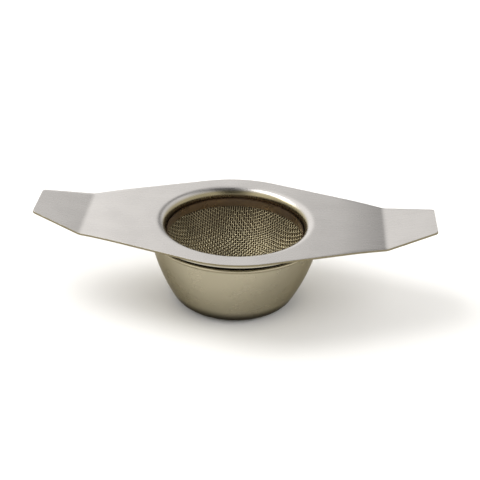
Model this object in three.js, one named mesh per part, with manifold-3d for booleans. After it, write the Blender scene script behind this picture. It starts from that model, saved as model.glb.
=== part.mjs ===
// Two-handled tea strainer standing on its drip bowl. Millimetres, +Z up.
// The origin is on the bowl's axis, at the surface the bowl stands on; +X runs along the handles.
import * as THREE from "three";
import { mergeVertices } from "three/addons/utils/BufferGeometryUtils.js";
import Module from "manifold-3d";

const wasm = await Module();
wasm.setup();

// Driving dimensions
const TOTAL_LENGTH = 160;
const SHEET = 0.8; // thickness of the plate and of the seat ring
const PLATE_TOP = 34.4; // height of the plate's flat top above the table
const PLATE_HALF_WIDTH = 37.8; // at the middle
const PLATE_EDGE_RADIUS = 39.9; // of the bulging middle of each long edge
const BEND_HALF_WIDTH = 18; // where the handles bend up
const TIP_HALF_WIDTH = 10;
const TIP_CORNER_RADIUS = 2;
const HANDLE_LENGTH = 20.6; // from the bend to the tip, along the slope
const HANDLE_ANGLE = THREE.MathUtils.degToRad(12.9);
const DIP_START = 46; // from here to the bend the arm falls a little, to grip a cup's rim
const DIP_DEPTH = 0.45;
const BEND_RADIUS = 5;

const HOLE_RADIUS = 28.7; // inside the drawn collar
const LIP_RADIUS = 3.6; // rounding from the plate's top into the collar
const COLLAR_DEPTH = 6; // from the plate's top to the collar's foot

const FIT_GAP = 0.3; // left between pieces that touch on the real object
const MESH_THICKNESS = 0.3; // shell that stands for the woven wire
const MESH_DEPTH = 23.2; // from the plate's top to the lowest wire
const MESH_RADIUS = 33.6; // of the dome
const RING_THICKNESS = 0.5;
const RING_TOP = 3.9; // below the plate's top
const RING_FOOT = 7.6;
const SEAT_RADIUS = 37.3; // outer edge of the seat ring's flange
const SEAT_SKIRT_RADIUS = 33.3; // outside of the skirt that drops into the bowl's mouth
const SEAT_SKIRT_FOOT = 5.8; // below the plate's top

const BOWL_MOUTH_RADIUS = 34.5; // outside of the wall, level with the rim bead's middle
const BOWL_WALL = 0.7;
const WALL_ARC = 79; // radius of the gently bulging wall
const WALL_LEAN_TOP = THREE.MathUtils.degToRad(9);
const WALL_LEAN_FOOT = THREE.MathUtils.degToRad(29.3);
const FOOT_ARC = 6.6; // rounding from the wall into the flat base
const BEAD_RADIUS = 0.62; // rolled rim
const BEAD_OFFSET = 0.4; // of the bead's middle, outside the wall's outer face

const TURN_STEPS = 48; // flats round each turned piece

const { cos, sin, PI } = Math;
const RIGHT_ANGLE = PI / 2;

// Points along an arc, both ends included.
function arc(centreX, centreY, radius, from, to, steps) {
  return Array.from({ length: steps + 1 }, (_, i) => {
    const angle = from + ((to - from) * i) / steps;
    return new THREE.Vector2(centreX + radius * cos(angle), centreY + radius * sin(angle));
  });
}

function point(x, y) {
  return new THREE.Vector2(x, y);
}

// Turns a section of (radius, height) points about Z.
function turned(section) {
  return new THREE.LatheGeometry(section, TURN_STEPS).rotateX(RIGHT_ANGLE);
}

function closedSection(section) {
  return turned([...section, section[0].clone()]);
}

function toSolid(geometry) {
  const bare = geometry.clone();
  bare.deleteAttribute("normal");
  bare.deleteAttribute("uv");
  const merged = mergeVertices(bare, 1e-5);
  const vertProperties = new Float32Array(merged.attributes.position.array);
  const triVerts = new Uint32Array(merged.index.array);
  return new wasm.Manifold(new wasm.Mesh({ numProp: 3, vertProperties, triVerts }));
}

function toGeometry(solid) {
  const mesh = solid.getMesh();
  const geometry = new THREE.BufferGeometry();
  geometry.setAttribute("position", new THREE.BufferAttribute(mesh.vertProperties, 3));
  geometry.setIndex(new THREE.BufferAttribute(mesh.triVerts, 1));
  geometry.computeVertexNormals();
  return geometry;
}

function named(name, geometry, color, roughness) {
  const material = new THREE.MeshStandardMaterial({ color, roughness, metalness: 1 });
  const mesh = new THREE.Mesh(geometry, material);
  mesh.name = name;
  return mesh;
}

const bendX = TOTAL_LENGTH / 2 - HANDLE_LENGTH * cos(HANDLE_ANGLE);

// Plan of the plate: two bulging edges, straight shoulders, tapering handles with rounded corners.
function plateOutline() {
  const arcY = PLATE_HALF_WIDTH - PLATE_EDGE_RADIUS;
  const reach = Math.hypot(bendX, BEND_HALF_WIDTH - arcY);
  const tangent = Math.atan2(BEND_HALF_WIDTH - arcY, bendX) + Math.acos(PLATE_EDGE_RADIUS / reach);
  const taper = Math.atan2(BEND_HALF_WIDTH - TIP_HALF_WIDTH, TOTAL_LENGTH / 2 - bendX);
  const cornerInset = TIP_CORNER_RADIUS * Math.tan((RIGHT_ANGLE - taper) / 2);
  const cornerX = TOTAL_LENGTH / 2 - TIP_CORNER_RADIUS;
  const cornerY = TIP_HALF_WIDTH - cornerInset;
  const quarter = [
    ...arc(cornerX, cornerY, TIP_CORNER_RADIUS, 0, RIGHT_ANGLE - taper, 4),
    point(bendX, BEND_HALF_WIDTH),
    ...arc(0, arcY, PLATE_EDGE_RADIUS, tangent, RIGHT_ANGLE, 8),
  ];
  const backRight = quarter;
  const backLeft = quarter.slice(0, -1).reverse().map((p) => point(-p.x, p.y));
  const back = [...backRight, ...backLeft];
  const front = back.map((p) => point(-p.x, -p.y));
  return new THREE.Shape([...back, ...front]);
}

// Side view of the sheet's top face from the middle to the right-hand tip.
function sheetTop() {
  const fall = Math.atan2(DIP_DEPTH, bendX - DIP_START);
  const turn = HANDLE_ANGLE + fall;
  const inset = BEND_RADIUS * Math.tan(turn / 2);
  const arcX = bendX - inset * cos(fall) + BEND_RADIUS * sin(fall);
  const arcY = -DIP_DEPTH + inset * sin(fall) + BEND_RADIUS * cos(fall);
  const bend = arc(arcX, arcY, BEND_RADIUS, -RIGHT_ANGLE - fall, -RIGHT_ANGLE + HANDLE_ANGLE, 4);
  const tipHeight = -DIP_DEPTH + HANDLE_LENGTH * sin(HANDLE_ANGLE);
  return [point(DIP_START, 0), ...bend, point(TOTAL_LENGTH / 2, tipHeight)];
}

function bentSheet() {
  const right = sheetTop();
  const left = right.map((p) => point(-p.x, p.y)).reverse();
  const top = [...left, ...right];
  const underside = top.map((p) => point(p.x, p.y - SHEET)).reverse();
  const depth = 2 * PLATE_HALF_WIDTH + 2;
  const options = { depth, bevelEnabled: false };
  const strip = new THREE.ExtrudeGeometry(new THREE.Shape([...top, ...underside]), options);
  return toSolid(strip.rotateX(RIGHT_ANGLE).translate(0, depth / 2, 0));
}

function upright(shape, low, high) {
  const options = { depth: high - low, bevelEnabled: false };
  return toSolid(new THREE.ExtrudeGeometry(shape, options).translate(0, 0, low));
}

// Lip and collar drawn down from the plate, as one turned ring.
function drawnCollar() {
  const overlap = 0.5;
  const lipX = HOLE_RADIUS + LIP_RADIUS;
  return toSolid(
    closedSection([
      point(lipX + overlap, -SHEET),
      point(lipX + overlap, 0),
      ...arc(lipX, -LIP_RADIUS, LIP_RADIUS, RIGHT_ANGLE, PI, 6),
      point(HOLE_RADIUS, -COLLAR_DEPTH),
      point(HOLE_RADIUS + SHEET, -COLLAR_DEPTH),
      ...arc(lipX, -LIP_RADIUS, LIP_RADIUS - SHEET, PI, RIGHT_ANGLE, 6),
    ]),
  );
}

function strainerPlate() {
  const flat = bentSheet().intersect(upright(plateOutline(), -20, 20));
  const hole = new THREE.Shape().absarc(0, 0, HOLE_RADIUS + LIP_RADIUS, 0, 2 * PI);
  const opened = flat.subtract(upright(hole, -20, 20));
  return toGeometry(opened.add(drawnCollar()));
}

// Flat hoop under the plate, with a skirt that drops into the bowl's mouth.
function seatRing() {
  const top = -SHEET - FIT_GAP;
  const skirtInside = SEAT_SKIRT_RADIUS - SHEET;
  return closedSection([
    point(SEAT_RADIUS, top - SHEET),
    point(SEAT_RADIUS, top),
    point(skirtInside, top),
    point(skirtInside, -SEAT_SKIRT_FOOT),
    point(SEAT_SKIRT_RADIUS, -SEAT_SKIRT_FOOT),
    point(SEAT_SKIRT_RADIUS, top - SHEET),
  ]);
}

const meshEdgeRadius = HOLE_RADIUS - FIT_GAP;
const ringOutside = meshEdgeRadius - MESH_THICKNESS - FIT_GAP;

// Band pressed into the collar, trapping the edge of the wire mesh.
function retainingRing() {
  const ringInside = ringOutside - RING_THICKNESS;
  return closedSection([
    point(ringOutside, -RING_FOOT),
    point(ringOutside, -RING_TOP),
    point(ringInside, -RING_TOP),
    point(ringInside, -RING_FOOT),
  ]);
}

// Upright edge behind the ring, then a shallow dome.
function meshSkin(edgeRadius, domeRadius, domeY) {
  const edgeAngle = -Math.acos(edgeRadius / domeRadius);
  return arc(0, domeY, domeRadius, edgeAngle, -RIGHT_ANGLE, 12);
}

function meshBasket() {
  const domeY = MESH_RADIUS - MESH_DEPTH;
  const inside = meshSkin(meshEdgeRadius - MESH_THICKNESS, MESH_RADIUS - MESH_THICKNESS, domeY);
  const outside = meshSkin(meshEdgeRadius, MESH_RADIUS, domeY);
  inside.at(-1).x = 0;
  outside.at(-1).x = 0;
  return turned([
    ...outside.reverse(),
    point(meshEdgeRadius, -RING_TOP - FIT_GAP),
    point(meshEdgeRadius - MESH_THICKNESS, -RING_TOP - FIT_GAP),
    ...inside,
  ]);
}

const bowlHeight =
  WALL_ARC * (sin(WALL_LEAN_FOOT) - sin(WALL_LEAN_TOP)) + FOOT_ARC * (1 - sin(WALL_LEAN_FOOT));

// One face of the bowl, from the rim down to the base, moved inwards by inset.
function bowlFace(inset) {
  const wallX = BOWL_MOUTH_RADIUS - WALL_ARC * cos(WALL_LEAN_TOP);
  const wallY = bowlHeight + WALL_ARC * sin(WALL_LEAN_TOP);
  const footX = wallX + (WALL_ARC - FOOT_ARC) * cos(WALL_LEAN_FOOT);
  return [
    ...arc(wallX, wallY, WALL_ARC - inset, -WALL_LEAN_TOP, -WALL_LEAN_FOOT, 7),
    ...arc(footX, FOOT_ARC, FOOT_ARC - inset, -WALL_LEAN_FOOT, -RIGHT_ANGLE, 4).slice(1),
  ];
}

function dripBowl() {
  const beadX = BOWL_MOUTH_RADIUS + BEAD_OFFSET;
  const bead = arc(beadX, bowlHeight, BEAD_RADIUS, -0.6 * PI, 0.7 * PI, 8);
  return turned([
    point(0, 0),
    ...bowlFace(0).reverse().slice(0, -1),
    ...bead,
    ...bowlFace(BOWL_WALL),
    point(0, BOWL_WALL),
  ]);
}

const strainer = new THREE.Group();
strainer.position.z = PLATE_TOP;
strainer.add(
  named("strainer_plate", strainerPlate(), 0xc9c5c1, 0.32),
  named("seat_ring", seatRing(), 0xa29b88, 0.4),
  named("retaining_ring", retainingRing(), 0x6b5a46, 0.4),
  named("mesh_basket", meshBasket(), 0x8f876a, 0.45),
);

const assembly = new THREE.Group();
assembly.add(named("drip_bowl", dripBowl(), 0xa29b88, 0.35), strainer);

export default assembly;
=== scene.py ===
"""Looks of a two-handled tea strainer on its drip bowl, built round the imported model. Metres, +Z up."""
import math
import bmesh
import bpy
from mathutils import Matrix, Vector


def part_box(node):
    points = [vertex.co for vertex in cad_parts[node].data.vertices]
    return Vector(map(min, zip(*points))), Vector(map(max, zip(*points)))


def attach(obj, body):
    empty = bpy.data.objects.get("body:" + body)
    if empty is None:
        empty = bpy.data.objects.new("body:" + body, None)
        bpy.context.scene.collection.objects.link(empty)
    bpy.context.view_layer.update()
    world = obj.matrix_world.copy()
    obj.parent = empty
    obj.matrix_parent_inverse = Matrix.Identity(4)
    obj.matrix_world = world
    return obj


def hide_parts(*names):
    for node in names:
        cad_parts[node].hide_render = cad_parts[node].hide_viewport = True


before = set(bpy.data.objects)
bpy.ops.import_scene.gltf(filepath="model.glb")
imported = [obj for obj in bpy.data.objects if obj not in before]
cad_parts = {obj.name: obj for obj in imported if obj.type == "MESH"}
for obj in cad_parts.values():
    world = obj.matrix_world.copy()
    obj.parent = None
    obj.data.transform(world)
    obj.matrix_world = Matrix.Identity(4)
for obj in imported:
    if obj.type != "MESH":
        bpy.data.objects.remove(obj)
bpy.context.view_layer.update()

MM = 0.001
RIGHT_ANGLE = math.pi / 2

# The pressed plate
SHEET = 0.8 * MM
FIT_GAP = 0.3 * MM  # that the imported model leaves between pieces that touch
EDGE_RADIUS = 39.9 * MM  # of the bulging middle of each long edge
BEND_HALF_WIDTH = 18 * MM
TIP_HALF_WIDTH = 10 * MM
TIP_CORNER_RADIUS = 2 * MM
HANDLE_LENGTH = 20.6 * MM
HANDLE_ANGLE = math.radians(12.9)
DIP_START = 44 * MM  # from the middle out to where the arm starts to fall
DIP_ANGLE = math.radians(3.2)  # how steeply the arm falls just before the bend
BEND_REACH = 1.3 * MM  # either side of the bend line
BEND_RUN_OUT = 0.4 * MM  # from the end of the bend to the next row of the handle
BURR = 0.12 * MM  # rounding of cut edges

# The collar drawn down round the hole, and the lip above it
HOLE_RADIUS = 28.7 * MM  # inside the collar's foot
COLLAR_DEPTH = 6 * MM
COLLAR_FOOT = 0.6 * MM  # height of its straight part
NECK_RADIUS = 28.0 * MM  # where the collar closes in on the band
NECK_DEPTH = 4.2 * MM
LIP_END_RADIUS = 32.0 * MM  # where the flat starts
LIP_REACH = 3.8 * MM  # of the lip's oval roll, measured across
LIP_DROP = 3.3 * MM  # and measured down
COLLAR_DRAFT = math.radians(8)  # how far short of upright the roll stops
FLAT_SHARES = (0.03, 0.12, 0.35, 0.65, 0.9, 1.0)  # where the rows lie between the lip and the flat's edge

# The rings
SEAT_FLANGE = 4 * MM  # from the seat ring's edge in to its skirt
SEAT_CLEARANCE = 0.02 * MM  # under the plate
BAND_THICKNESS = 0.5 * MM
BAND_ROUNDING = 0.08 * MM

# The bowl
BOWL_MOUTH_RADIUS = 34.5 * MM
BOWL_WALL = 0.7 * MM
WALL_ARC = 79 * MM  # radius of the wall's gentle curve
WALL_LEAN_TOP = math.radians(9)  # from upright
WALL_LEAN_FOOT = math.radians(29.53)
FOOT_ARC = 6.6 * MM  # radius of the curve from the wall into the base
BASE_RADII = (0, 6 * MM, 12 * MM, 18 * MM)
BEAD_RADIUS = 0.55 * MM
BEAD_START = -0.6 * math.pi  # underneath, where the wall's outside meets it
BEAD_END = 0.7 * math.pi  # over the top, where the wall's inside starts
RIM_LIFT = 0.25 * MM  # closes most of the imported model's gap under the seat ring

# The woven wire
WIRE_PITCH = 0.95 * MM
WIRE_RADIUS = 0.135 * MM
WIRE_SIDES = 6
WIRE_END_LIFTS = (0.7 * MM, 1.6 * MM)  # of the upturned ends behind the band
LAST_WIRE_MARGIN = 1 * MM  # kept clear between the outermost wire and the mesh's edge
DOME_RADIUS = 33.6 * MM

# How finely the pieces are meshed
TURNS = 192  # facets round a turned piece
CORNER_STEPS = 3
ARM_COLUMNS = 12  # from the middle of an arm's root to its corner
SIDE_COLUMNS = 44  # from there to the middle of a long edge
DIP_ROWS = 12  # along the falling part of an arm
BEND_ROWS = 10
HANDLE_ROWS = 8
TIP_ROWS = 6  # round the tip's corners
LIP_STEPS = 14
WALL_STEPS = 24
FOOT_STEPS = 12
BEAD_STEPS = 16
HALVINGS = 40  # when looking for the plate's edge

# The steel's surface
GRAIN_SCALE = 3500.0  # noise cells in a metre
GRAIN_RELIEF = 0.02 * MM  # height of the brushing, before its strength
MARKS_SCALE = 90.0
NOISE_LOW = 0.25  # most of the noise lies between these
NOISE_HIGH = 0.75
SHEET_STRETCH = (0.012, 1, 0.05)  # how much of each axis the plate's brushing keeps
SPIN_STRETCH = 0.0004  # metres of pattern for each radian round Z

# The tent, the lights and the floor
TENT_COLOR = (1.0, 0.985, 0.96, 1)
LEFT_WALL = 1.55  # glow of the tent's left wall
RIGHT_WALL = 0.76  # of the right wall, as a share of the left wall's
FRONT_WALL = 0.45  # of the patch low in front, likewise
SLOT = 0.04  # of the dark slot, likewise
FLOOR_COLOR = (0.88, 0.875, 0.86, 1)
FLOOR_REACH = 4.0

# The camera
CAMERA_DISTANCE = 0.470
CAMERA_ELEVATION = math.radians(28.06)
CAMERA_AZIMUTH = math.radians(2.75)
CAMERA_ROLL = math.radians(1.75)
CAMERA_TARGET = Vector((2.1 * MM, 0, 25.04 * MM))  # before the turn by the azimuth
CAMERA_LENS = 86.96
CAMERA_SENSOR = 36.0

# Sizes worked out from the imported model
plate_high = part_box("strainer_plate")[1]
bowl_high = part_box("drip_bowl")[1]
seat_low, seat_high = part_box("seat_ring")
ring_low, ring_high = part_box("retaining_ring")
mesh_low, mesh_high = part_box("mesh_basket")
plate_top = seat_high[2] + FIT_GAP + SHEET
plate_half_width = plate_high[1]
tip_x = plate_high[0] - SHEET * math.sin(HANDLE_ANGLE)  # of the top face; the underside reaches further
bend_x = plate_high[0] - HANDLE_LENGTH * math.cos(HANDLE_ANGLE)
handle_taper = math.atan2(BEND_HALF_WIDTH - TIP_HALF_WIDTH, tip_x - bend_x)
corner_x = tip_x - TIP_CORNER_RADIUS  # centre of the tip's rounded corner
corner_start_x = corner_x + TIP_CORNER_RADIUS * math.sin(handle_taper)
rim_height = bowl_high[2] + RIM_LIFT
dome_centre_z = mesh_low[2] + DOME_RADIUS
mesh_edge = mesh_high[0] - 2 * WIRE_RADIUS
weave_radius = DOME_RADIUS - 2 * WIRE_RADIUS


# ---- Outlines and meshes ----

def spaced(start, end, count):
    """Evenly spaced values up to end. The start itself is left out."""
    return [start + (end - start) * i / count for i in range(1, count + 1)]


def arc(centre_x, centre_y, radius, start, end, steps):
    """Points along an arc, both ends included."""
    angles = [start] + spaced(start, end, steps)
    return [(centre_x + radius * math.cos(a), centre_y + radius * math.sin(a)) for a in angles]


def rounded(outline, radius):
    """A closed outline with each corner turned into a small curve."""
    points = []
    for i, corner in enumerate(outline):
        here = Vector(corner)
        before = here + (Vector(outline[i - 1]) - here).normalized() * radius
        after = here + (Vector(outline[(i + 1) % len(outline)]) - here).normalized() * radius
        for step in range(CORNER_STEPS + 1):
            t = step / CORNER_STEPS
            points.append(tuple(before * (1 - t) ** 2 + here * 2 * t * (1 - t) + after * t ** 2))
    return points


def turned(section, closed=True):
    """Vertices and faces of a section of (radius, height) points turned about Z.

    A section that isn't closed starts and ends on the axis."""
    verts, faces, rows = [], [], []
    for radius, height in section:
        if radius == 0:
            rows.append([len(verts)] * TURNS)
            verts.append((0, 0, height))
            continue
        rows.append(range(len(verts), len(verts) + TURNS))
        for i in range(TURNS):
            angle = 2 * math.pi * i / TURNS
            verts.append((radius * math.cos(angle), radius * math.sin(angle), height))
    pairs = list(zip(rows, rows[1:]))
    if closed:
        pairs.append((rows[-1], rows[0]))
    for low, high in pairs:
        for i in range(TURNS):
            j = (i + 1) % TURNS
            corners = dict.fromkeys([low[i], low[j], high[j], high[i]])  # only three at the axis
            faces.append(tuple(corners))
    return verts, faces


def new_piece(name, verts, faces, material, body, nodes, crease):
    """A mesh that rides on a body and stands for CAD nodes, smooth except at edges sharper than crease."""
    mesh = bpy.data.meshes.new(name)
    mesh.from_pydata(verts, [], faces)
    shape = bmesh.new()
    shape.from_mesh(mesh)
    bmesh.ops.recalc_face_normals(shape, faces=shape.faces)
    shape.to_mesh(mesh)
    shape.free()
    mesh.shade_smooth()
    mesh.set_sharp_from_angle(angle=math.radians(crease))
    mesh.materials.append(material)
    piece = bpy.data.objects.new(name, mesh)
    bpy.context.scene.collection.objects.link(piece)
    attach(piece, body)
    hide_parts(*nodes)
    return piece


# ---- Shader nodes ----

def add_node(tree, kind, inputs=None, **settings):
    """A new node with its settings made and its inputs linked or set."""
    node = tree.nodes.new(kind)
    for key, value in settings.items():
        setattr(node, key, value)
    for key, value in (inputs or {}).items():
        if isinstance(value, bpy.types.NodeSocket):
            tree.links.new(value, node.inputs[key])
        else:
            node.inputs[key].default_value = value
    return node


def ramp(tree, value, low, high, start, end):
    """A value that eases from start to end as its input goes from low to high."""
    easing = add_node(
        tree, "ShaderNodeMapRange",
        {"Value": value, "From Min": low, "From Max": high, "To Min": start, "To Max": end},
        interpolation_type="SMOOTHSTEP")
    return easing.outputs["Result"]


def maths(tree, operation, first, second):
    """One arithmetic operation on two values."""
    return add_node(tree, "ShaderNodeMath", {0: first, 1: second}, operation=operation).outputs["Value"]


def product(tree, first, second):
    """Two colours multiplied."""
    node = add_node(tree, "ShaderNodeVectorMath", {0: first, 1: second}, operation="MULTIPLY")
    return node.outputs["Vector"]


def swing(tree, noise, amount):
    """Noise turned into a value that swings by the amount either way of nothing."""
    return ramp(tree, noise, NOISE_LOW, NOISE_HIGH, -amount, amount)


def profile(tree, value, stops):
    """A value that passes through (input, output) stops. Inputs run from -1 to 1, outputs from 0 to 1."""
    place = add_node(tree, "ShaderNodeMapRange", {"Value": value, "From Min": -1.0}).outputs["Result"]
    node = add_node(tree, "ShaderNodeValToRGB", {"Fac": place})
    elements = node.color_ramp.elements
    while len(elements) < len(stops):
        elements.new(0.5)
    for element, (where, level) in zip(elements, stops):
        element.position = (where + 1) / 2
        element.color = (level, level, level, 1)
    return node.outputs["Color"]


def along_sheet(tree, place):
    """Coordinates drawn out along X, as a belt-brushed sheet's lines are."""
    drawn = add_node(tree, "ShaderNodeMapping", {"Vector": place, "Scale": SHEET_STRETCH})
    return drawn.outputs["Vector"]


def round_axis(tree, place):
    """Coordinates drawn out round Z, as a spun bowl's lines are."""
    axes = add_node(tree, "ShaderNodeSeparateXYZ", {"Vector": place})
    flat = add_node(tree, "ShaderNodeCombineXYZ", {"X": axes.outputs["X"], "Y": axes.outputs["Y"]})
    radius = add_node(tree, "ShaderNodeVectorMath", {0: flat.outputs["Vector"]}, operation="LENGTH")
    angle = maths(tree, "ARCTAN2", axes.outputs["Y"], axes.outputs["X"])
    sweep = maths(tree, "MULTIPLY", angle, SPIN_STRETCH)
    drawn = {"X": radius.outputs["Value"], "Y": sweep, "Z": axes.outputs["Z"]}
    return add_node(tree, "ShaderNodeCombineXYZ", drawn).outputs["Vector"]


# ---- Steels ----

def tint_by_height(tree, shade, height, bare_height, tinted_height, tint):
    """A colour multiplied by a tint, from not at all at bare_height to wholly at tinted_height; it lays
    painted shade and painted light as well as plain darkening.
    """
    if bare_height < tinted_height:
        share = ramp(tree, height, bare_height, tinted_height, 0.0, 1.0)
    else:
        share = ramp(tree, height, tinted_height, bare_height, 1.0, 0.0)
    blend = add_node(tree, "ShaderNodeMix", {"Factor": share}, data_type="VECTOR")
    tree.links.new(shade, blend.inputs[4])  # by number: a Mix node has an A and a B for each data type
    tree.links.new(product(tree, shade, tint), blend.inputs[5])
    return blend.outputs[1]


def steel(name, color, roughness, lines, depth=0.1, spread=0.03, wear=0.03, height_tints=()):
    """Steel with fine lines in its tone, gloss and relief, over faint handling marks.

    Each height tint is (height with none of it, height with all of it, what it multiplies the colour by),
    and may be painted shade or painted light."""
    material = bpy.data.materials.new(name)
    material.use_nodes = True
    tree = material.node_tree
    shader = tree.nodes["Principled BSDF"]
    shader.inputs["Metallic"].default_value = 1.0
    place = add_node(tree, "ShaderNodeTexCoord").outputs["Object"]
    grain_inputs = {"Vector": lines(tree, place), "Scale": GRAIN_SCALE, "Detail": 3.0, "Roughness": 0.6}
    grain = add_node(tree, "ShaderNodeTexNoise", grain_inputs).outputs["Fac"]
    marks_inputs = {"Vector": place, "Scale": MARKS_SCALE, "Detail": 4.0}
    marks = add_node(tree, "ShaderNodeTexNoise", marks_inputs).outputs["Fac"]
    streaks = swing(tree, grain, spread)
    worn = swing(tree, marks, wear)
    gloss = maths(tree, "ADD", maths(tree, "SUBTRACT", streaks, worn), roughness)
    tree.links.new(gloss, shader.inputs["Roughness"])
    tone = maths(tree, "ADD", maths(tree, "ADD", streaks, worn), 1.0)
    shade = product(tree, color, tone)
    height = add_node(tree, "ShaderNodeSeparateXYZ", {"Vector": place}).outputs["Z"]
    for bare_height, tinted_height, tint in height_tints:
        shade = tint_by_height(tree, shade, height, bare_height, tinted_height, tint)
    tree.links.new(shade, shader.inputs["Base Color"])
    bump = add_node(tree, "ShaderNodeBump", {"Height": grain, "Strength": depth, "Distance": GRAIN_RELIEF})
    tree.links.new(bump.outputs["Normal"], shader.inputs["Normal"])
    return material


def plate_steel():
    """Belt-brushed sheet, darker and browner down the lip, and darker still down the collar."""
    lip_darkening = (plate_top - 0.5 * MM, plate_top - 1.7 * MM, (0.6, 0.54, 0.34))
    collar_darkening = (plate_top - 2.1 * MM, plate_top - 3.2 * MM, (0.75, 0.7, 0.75))
    height_tints = [lip_darkening, collar_darkening]
    return steel("plate_steel", (0.455, 0.44, 0.43), 0.27, along_sheet, depth=0.12, height_tints=height_tints)


def cut_steel():
    """The plate's sheared edge."""
    return steel("cut_edge", (0.22, 0.19, 0.12), 0.45, along_sheet)


def seat_steel():
    """Plain spun steel."""
    return steel("seat_steel", (0.42, 0.39, 0.31), 0.30, round_axis)


def band_steel():
    """Steel browned by tea, with painted shade darkening it towards its top, where it sits in the collar.
    """
    # Painted shade on the band's sloping top, down in the collar.
    top_painted_shade = (ring_high[2] - 0.9 * MM, ring_high[2] - 0.1 * MM, (0.45, 0.4, 0.35))
    return steel("ring_steel", (0.36, 0.275, 0.21), 0.36, round_axis, wear=0.12, height_tints=[top_painted_shade])


def bowl_steel():
    """Spun steel, with painted shade round its foot and a painted shadow line where the rim's fold ends,
    with painted light on the fold above it.
    """
    # Painted shade round the foot, for the dark contact shadow that it reflects.
    foot_painted_shade = (7.5 * MM, 2.6 * MM, (0.15, 0.15, 0.17))
    # Painted shadow line under the rim's fold, then painted light that lifts the fold and the wall's top
    # back a little above their own tone.
    crease_painted_shadow = (rim_height - 2.1 * MM, rim_height - 1.8 * MM, (0.66, 0.64, 0.6))
    fold_painted_light = (rim_height - 1.5 * MM, rim_height - 1.2 * MM, (1.6, 1.64, 1.7))
    material = steel("bowl_steel", (0.365, 0.33, 0.24), 0.28, round_axis,
                     depth=0.01, spread=0.006, wear=0.015, height_tints=[foot_painted_shade, crease_painted_shadow, fold_painted_light])
    shader = material.node_tree.nodes["Principled BSDF"]
    shader.inputs["Specular Tint"].default_value = (0.55, 0.52, 0.45, 1)
    return material


def inside_painted_dark():
    """Steel painted very dark for the shade inside the bowl under the plate, seen through the mesh."""
    return steel("bowl_inside", (0.13, 0.10, 0.07), 0.35, round_axis)


def wire_steel():
    """Yellowed wire, a little darker towards the mesh's edge."""
    edge_darkening = (14 * MM, 24 * MM, (0.72, 0.7, 0.67))
    return steel("wire_mesh", (0.53, 0.47, 0.31), 0.25, round_axis,
                 depth=0.0, wear=0.14, height_tints=[edge_darkening])


# ---- The plate ----

def edge_half_width(x):
    """Half the plate's width at a distance x from the middle: bulge, shoulder, handle, rounded corner."""
    if x > corner_start_x:
        corner_y = TIP_HALF_WIDTH - TIP_CORNER_RADIUS * math.tan((RIGHT_ANGLE - handle_taper) / 2)
        return corner_y + math.sqrt(max(0.0, TIP_CORNER_RADIUS ** 2 - (x - corner_x) ** 2))
    if x > bend_x:
        return BEND_HALF_WIDTH - (x - bend_x) * math.tan(handle_taper)
    # The shoulder is the line from the bend that just touches the bulge's circle.
    arc_y = plate_half_width - EDGE_RADIUS
    reach = math.hypot(bend_x, BEND_HALF_WIDTH - arc_y)
    tangent = math.atan2(BEND_HALF_WIDTH - arc_y, bend_x) + math.acos(EDGE_RADIUS / reach)
    tangent_x = EDGE_RADIUS * math.cos(tangent)
    if x <= tangent_x:
        return arc_y + math.sqrt(EDGE_RADIUS ** 2 - x ** 2)
    tangent_y = arc_y + EDGE_RADIUS * math.sin(tangent)
    return tangent_y + (BEND_HALF_WIDTH - tangent_y) * (x - tangent_x) / (bend_x - tangent_x)


def edge_distance(angle):
    """How far the flat middle reaches from the hole's centre at this angle.

    It ends at DIP_START across an arm, and elsewhere at the long edge, which is found by halving."""
    if math.tan(angle) * DIP_START <= edge_half_width(DIP_START):
        return DIP_START / math.cos(angle)
    near, far = plate_half_width * 0.9, math.hypot(plate_half_width, DIP_START)
    for _ in range(HALVINGS):
        middle = (near + far) / 2
        inside = middle * math.sin(angle) < edge_half_width(middle * math.cos(angle))
        near, far = (middle, far) if inside else (near, middle)
    return near


def sheet_slope(x):
    """Slope of the sheet towards the tip: flat, a gentle fall, then the handle."""
    if x < bend_x - BEND_REACH:
        return -DIP_ANGLE * max(0.0, (x - DIP_START) / (bend_x - BEND_REACH - DIP_START))
    turn = min(1.0, (x - bend_x + BEND_REACH) / (2 * BEND_REACH))
    return -DIP_ANGLE + (HANDLE_ANGLE + DIP_ANGLE) * turn * turn * (3 - 2 * turn)


def arm_stations():
    """(x, height) along the top face from the flat middle to the tip."""
    handle_start = bend_x + BEND_REACH + BEND_RUN_OUT
    xs = spaced(DIP_START, bend_x - BEND_REACH, DIP_ROWS)
    xs += spaced(bend_x - BEND_REACH, bend_x + BEND_REACH, BEND_ROWS)
    xs += [handle_start] + spaced(handle_start, corner_start_x, HANDLE_ROWS)
    for turn in spaced(handle_taper, RIGHT_ANGLE, TIP_ROWS):
        xs.append(corner_x + TIP_CORNER_RADIUS * math.sin(turn))
    stations, x, height = [], DIP_START, 0.0
    for next_x in xs:
        height += (next_x - x) * math.tan(sheet_slope((x + next_x) / 2))
        x = next_x
        stations.append((x, height))
    return stations


def collar_rows():
    """(radius, height) from the collar's foot, in to the neck, up its draft and over the lip."""
    foot = [(HOLE_RADIUS, -COLLAR_DEPTH), (HOLE_RADIUS, COLLAR_FOOT - COLLAR_DEPTH)]
    neck = (NECK_RADIUS, -NECK_DEPTH)
    quarter = arc(0, 0, 1, math.pi - COLLAR_DRAFT, RIGHT_ANGLE, LIP_STEPS)
    lip = [(LIP_END_RADIUS + reach * LIP_REACH, (rise - 1) * LIP_DROP) for reach, rise in quarter]
    return foot + [neck] + lip


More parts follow.
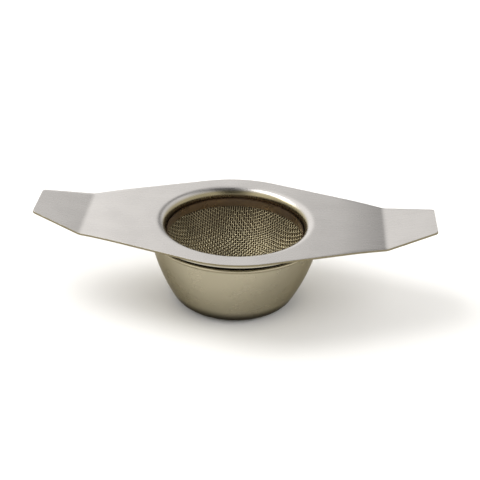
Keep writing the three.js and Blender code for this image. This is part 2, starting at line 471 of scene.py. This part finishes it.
def column_angles():
    """Angles of the plate's columns, from the middle of the right arm all the way round."""
    corner = math.atan2(edge_half_width(DIP_START), DIP_START)
    arm = [corner * i / ARM_COLUMNS for i in range(ARM_COLUMNS)]
    side = [corner + (RIGHT_ANGLE - corner) * i / SIDE_COLUMNS for i in range(SIDE_COLUMNS + 1)]
    quarter = arm + side
    half = quarter + [math.pi - angle for angle in reversed(quarter[:-1])]
    return half + [math.pi + angle for angle in half[1:-1]]


def plate_column(angle):
    """Points on the top face at one angle, from the collar's foot out to the flat's edge."""
    cosine, sine = math.cos(angle), math.sin(angle)
    rows = collar_rows()
    start = rows[-1][0]
    reach = edge_distance(math.atan2(abs(sine), abs(cosine)))
    rows += [(start + (reach - start) * share, 0.0) for share in FLAT_SHARES]
    return [(radius * cosine, radius * sine, plate_top + height) for radius, height in rows]


def add_arm(verts, faces, root, side):
    """Draw the root's row of vertices out to the tip, towards +X for side 1 or -X for side -1."""
    shares = [verts[i][1] / edge_half_width(DIP_START) for i in root]
    previous = root
    for x, height in arm_stations():
        width = edge_half_width(x)
        current = range(len(verts), len(verts) + len(shares))
        verts.extend((side * x, share * width, plate_top + height) for share in shares)
        for k in range(len(shares) - 1):
            faces.append((previous[k], current[k], current[k + 1], previous[k + 1]))
        previous = current


def plate_face():
    """Vertices and faces of the plate's whole top face."""
    columns = [plate_column(angle) for angle in column_angles()]
    column_count = len(columns)
    row_count = len(columns[0])
    verts = [point for column in columns for point in column]
    faces = []
    for column in range(column_count):
        here = column * row_count
        following = (column + 1) % column_count * row_count
        for row in range(row_count - 1):
            faces.append((here + row, here + row + 1, following + row + 1, following + row))
    for middle, side in ((0, 1), (column_count // 2, -1)):
        across = range(middle - ARM_COLUMNS, middle + ARM_COLUMNS + 1)
        root = [column % column_count * row_count + row_count - 1 for column in across]
        add_arm(verts, faces, root, side)
    return verts, faces


def make_plate():
    """The top face thickened downwards, with its cut edges eased."""
    verts, faces = plate_face()
    plate = new_piece("plate_sheet", verts, faces, plate_steel(),
                      "strainer", ["strainer_plate"], crease=60)
    plate.data.materials.append(cut_steel())
    thickness = plate.modifiers.new("thickness", "SOLIDIFY")
    thickness.thickness = SHEET
    thickness.offset = -1.0
    thickness.material_offset_rim = 1
    edges = plate.modifiers.new("cut_edges", "BEVEL")
    edges.width = BURR
    edges.segments = 2
    edges.limit_method = "ANGLE"
    edges.angle_limit = math.radians(60)


# ---- The rings and the bowl ----

def make_seat_ring():
    """A hoop under the plate, with a skirt that drops into the bowl's mouth."""
    top = plate_top - SHEET - SEAT_CLEARANCE
    under = top - SHEET
    outside = seat_high[0]
    skirt = outside - SEAT_FLANGE
    section = [(outside, under), (outside, top), (skirt - SHEET, top), (skirt - SHEET, seat_low[2]),
               (skirt, seat_low[2]), (skirt, under)]
    verts, faces = turned(rounded(section, BURR))
    new_piece("seat_hoop", verts, faces, seat_steel(),
              "strainer", ["seat_ring"], crease=50)


def make_retaining_ring():
    """A band against the edge of the wire, its top sloping down to the collar."""
    outside = ring_high[0]
    inside = outside - BAND_THICKNESS
    section = [(outside, ring_low[2]), (outside, ring_high[2] - BAND_THICKNESS),
               (inside, ring_high[2]), (inside, ring_low[2])]
    verts, faces = turned(rounded(section, BAND_ROUNDING))
    new_piece("mesh_band", verts, faces, band_steel(),
              "strainer", ["retaining_ring"], crease=50)


def bowl_face(inset, height):
    """One face of the bowl from the rim to the base, moved inwards by inset."""
    wall_x = BOWL_MOUTH_RADIUS - WALL_ARC * math.cos(WALL_LEAN_TOP)
    wall_y = height + WALL_ARC * math.sin(WALL_LEAN_TOP)
    foot_x = wall_x + (WALL_ARC - FOOT_ARC) * math.cos(WALL_LEAN_FOOT)
    wall = arc(wall_x, wall_y, WALL_ARC - inset, -WALL_LEAN_TOP, -WALL_LEAN_FOOT, WALL_STEPS)
    foot = arc(foot_x, FOOT_ARC, FOOT_ARC - inset, -WALL_LEAN_FOOT, -RIGHT_ANGLE, FOOT_STEPS)
    return wall + foot[1:]


def make_bowl():
    """A shell from the base up the outside, over the bead and down the inside, which is painted dark for
    its shade.
    """
    height = rim_height - BEAD_RADIUS
    bead = arc(bowl_high[0] - BEAD_RADIUS, height, BEAD_RADIUS, BEAD_START, BEAD_END, BEAD_STEPS)
    outside = bowl_face(0, height)[::-1]
    inside = bowl_face(BOWL_WALL, height)
    base = [(radius, 0.0) for radius in BASE_RADII]
    floor = [(radius, BOWL_WALL) for radius in reversed(BASE_RADII)]
    verts, faces = turned(base + outside + bead + inside + floor, closed=False)
    bowl = new_piece("bowl_shell", verts, faces, bowl_steel(),
                     "bowl", ["drip_bowl"], crease=40)
    bowl.data.materials.append(inside_painted_dark())
    inside_start = TURNS * (len(base + outside + bead) - 1)  # faces lie in the section's order
    for face in list(bowl.data.polygons)[inside_start:]:
        face.material_index = 1


# ---- The woven basket ----

def wire_path(across, row):
    """(Centre, way up) along a wire that runs along the first axis, at this place across the second.

    It sways over and under the wires that it meets, and both its ends turn up behind the band."""
    half = math.sqrt(mesh_edge ** 2 - across ** 2)
    count = max(2, round(2 * half / (WIRE_PITCH / 2)))
    path = []
    for i in range(count + 1):
        along = -half + 2 * half * i / count
        drop = math.sqrt(weave_radius ** 2 - along ** 2 - across ** 2)
        up = Vector((-along, -across, drop)).normalized()
        sway = WIRE_RADIUS * math.cos(math.pi * (along / WIRE_PITCH + row))
        path.append((Vector((along, across, dome_centre_z - drop)) + up * sway, up))
    first, last = path[0][0], path[-1][0]
    inward = Vector((1, 0, 0))
    for lift in WIRE_END_LIFTS:
        path.insert(0, (first + Vector((0, 0, lift)), inward))
        path.append((last + Vector((0, 0, lift)), -inward))
    return path


def add_wire(verts, faces, path, swapped):
    """Add a thin tube with closed ends along a path, with X and Y swapped for a crosswise wire."""
    first = len(verts)
    for i, (centre, up) in enumerate(path):
        ahead = path[min(i + 1, len(path) - 1)][0] - path[max(i - 1, 0)][0]
        side = ahead.cross(up).normalized()
        lift = side.cross(ahead).normalized()
        for k in range(WIRE_SIDES):
            turn = 2 * math.pi * k / WIRE_SIDES
            x, y, z = centre + (side * math.cos(turn) + lift * math.sin(turn)) * WIRE_RADIUS
            verts.append((y, x, z) if swapped else (x, y, z))
    for i in range(len(path) - 1):
        start = first + i * WIRE_SIDES
        for k in range(WIRE_SIDES):
            here = start + k
            beside = start + (k + 1) % WIRE_SIDES
            faces.append((here, beside, beside + WIRE_SIDES, here + WIRE_SIDES))
    faces.append(tuple(range(first, first + WIRE_SIDES)))
    faces.append(tuple(range(len(verts) - WIRE_SIDES, len(verts))))


def make_wires(name, material, swapped):
    """All the wires of one direction, as one mesh of thin tubes."""
    verts, faces = [], []
    rows = int((mesh_edge - LAST_WIRE_MARGIN) / WIRE_PITCH)
    for row in range(-rows, rows + 1):
        path = wire_path(row * WIRE_PITCH, row + (1 if swapped else 0))
        add_wire(verts, faces, path, swapped)
    new_piece(name, verts, faces, material, "strainer", ["mesh_basket"], crease=75)


# ---- Floor, light and camera ----

def make_floor():
    """A wide white sheet under the bowl."""
    material = bpy.data.materials.new("floor_white")
    material.use_nodes = True
    shader = material.node_tree.nodes["Principled BSDF"]
    shader.inputs["Base Color"].default_value = FLOOR_COLOR
    shader.inputs["Roughness"].default_value = 0.9
    shader.inputs["Specular IOR Level"].default_value = 0.2
    mesh = bpy.data.meshes.new("floor")
    corners = [(FLOOR_REACH * x, FLOOR_REACH * y, 0) for x, y in ((-1, -1), (1, -1), (1, 1), (-1, 1))]
    mesh.from_pydata(corners, [], [(0, 1, 2, 3)])
    mesh.materials.append(material)
    floor = bpy.data.objects.new("floor", mesh)
    bpy.context.scene.collection.objects.link(floor)


def make_world():
    """A white tent: a bright left wall, a dimmer right wall, a pale back, a dim patch low in front, and a
    dark slot overhead and in front. A wall's stops are (place from left to right, share of the glow)."""
    world = bpy.data.worlds.new("tent")
    bpy.context.scene.world = world
    world.use_nodes = True
    tree = world.node_tree
    background = tree.nodes["Background"]
    way = add_node(tree, "ShaderNodeTexCoord").outputs["Generated"]
    axes = add_node(tree, "ShaderNodeSeparateXYZ", {"Vector": way})
    across = axes.outputs["X"]
    left = [(-0.95, 0.55), (-0.75, 1.0)]
    walls = left + [(-0.31, 1.0), (-0.13, SLOT), (0.31, SLOT), (0.50, RIGHT_WALL)]
    back = left + [
        (-0.22, 1.0), (-0.08, 0.82), (0.03, 0.71), (0.14, 0.29), (0.24, 0.29), (0.42, RIGHT_WALL)]
    behind = ramp(tree, axes.outputs["Y"], 0.1, 0.45, 0.0, 1.0)
    shares = {"Factor": behind, "A": profile(tree, across, walls), "B": profile(tree, across, back)}
    room = add_node(tree, "ShaderNodeMix", shares).outputs["Result"]
    front = ramp(tree, axes.outputs["Y"], -0.97, -0.89, FRONT_WALL, 0.0)
    glow = maths(tree, "MULTIPLY", maths(tree, "MAXIMUM", room, front), LEFT_WALL)
    tree.links.new(glow, background.inputs["Strength"])
    background.inputs["Color"].default_value = TENT_COLOR


def area_light(name, place, size, power):
    """A white panel aimed at the middle of the bowl's base."""
    light = bpy.data.lights.new(name, "AREA")
    light.shape = "RECTANGLE"
    light.size, light.size_y = size
    light.energy = power
    holder = bpy.data.objects.new(name, light)
    holder.location = place
    holder.rotation_euler = (-Vector(place)).to_track_quat("-Z", "Y").to_euler()
    bpy.context.scene.collection.objects.link(holder)
    return holder


def make_lights():
    """A softbox at the back left, and a fill that brightens the floor but isn't reflected in the steel.

    Places and sizes are in metres, and powers in watts."""
    area_light("softbox", place=(-0.54, 0.1, 0.74), size=(0.42, 0.85), power=4.5)
    fill = area_light("floor_fill", place=(0.62, -0.32, 0.66), size=(0.8, 0.8), power=2.5)
    fill.visible_glossy = False


def make_camera():
    """A camera in front and a little to the right, looking down, and tilted by its roll."""
    data = bpy.data.cameras.new("camera")
    data.lens = CAMERA_LENS
    data.sensor_width = CAMERA_SENSOR
    data.clip_start = 10 * MM
    turn = Matrix.Rotation(CAMERA_AZIMUTH, 3, "Z")
    back = turn @ Vector((0, -math.cos(CAMERA_ELEVATION), math.sin(CAMERA_ELEVATION)))
    level = turn @ Vector((1, 0, 0))
    right = level * math.cos(CAMERA_ROLL) + back.cross(level) * math.sin(CAMERA_ROLL)
    facing = Matrix((right, back.cross(right), back)).transposed().to_4x4()
    camera = bpy.data.objects.new("camera", data)
    camera.matrix_world = Matrix.Translation(turn @ CAMERA_TARGET + back * CAMERA_DISTANCE) @ facing
    bpy.context.scene.collection.objects.link(camera)
    bpy.context.scene.camera = camera


make_plate()
make_seat_ring()
make_retaining_ring()
make_bowl()
wire = wire_steel()
make_wires("wires_lengthwise", wire, swapped=False)
make_wires("wires_crosswise", wire, swapped=True)
make_floor()
make_world()
make_lights()
make_camera()
bpy.context.scene.view_settings.view_transform = "Standard"
